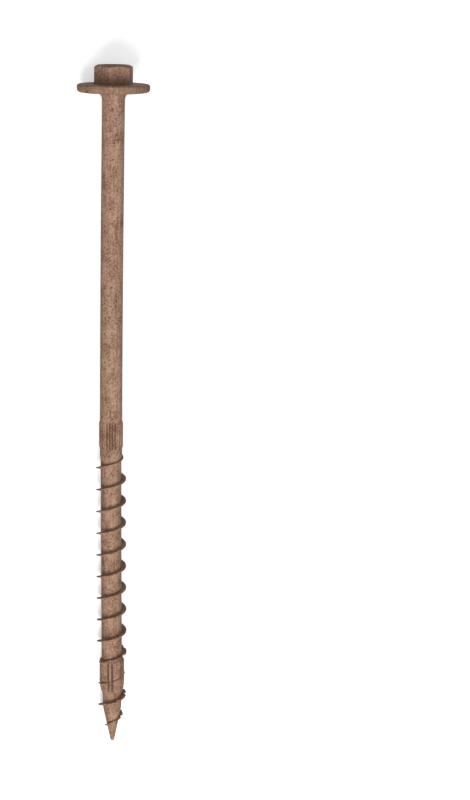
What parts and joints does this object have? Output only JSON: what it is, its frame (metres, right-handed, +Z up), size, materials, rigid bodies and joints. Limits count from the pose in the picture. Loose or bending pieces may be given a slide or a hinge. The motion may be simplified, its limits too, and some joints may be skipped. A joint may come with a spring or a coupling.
{
  "type": "construction screw",
  "caption": "Long timber screw with a washer-faced hex head, plain shank, knurled band, coarse single thread, fluted barrel and notched conical point.",
  "frame": {"origin": "on the floor, under the middle of the screw as it lies", "axes": "+X along the screw towards its head, +Z up; the screw lies on its flange's rim and on the thread beside a pair of flutes, so its axis rises 2 degrees towards the head"},
  "size_m": [0.1584, 0.0162, 0.0163],
  "materials": {
    "coated_steel": "matte light brown corrosion-resistant coating on cold-formed carbon steel, fine grain, small dark pits"
  },
  "bodies": {
    "root": {"construction_screw": "coated_steel"}
  },
  "joints": []
}
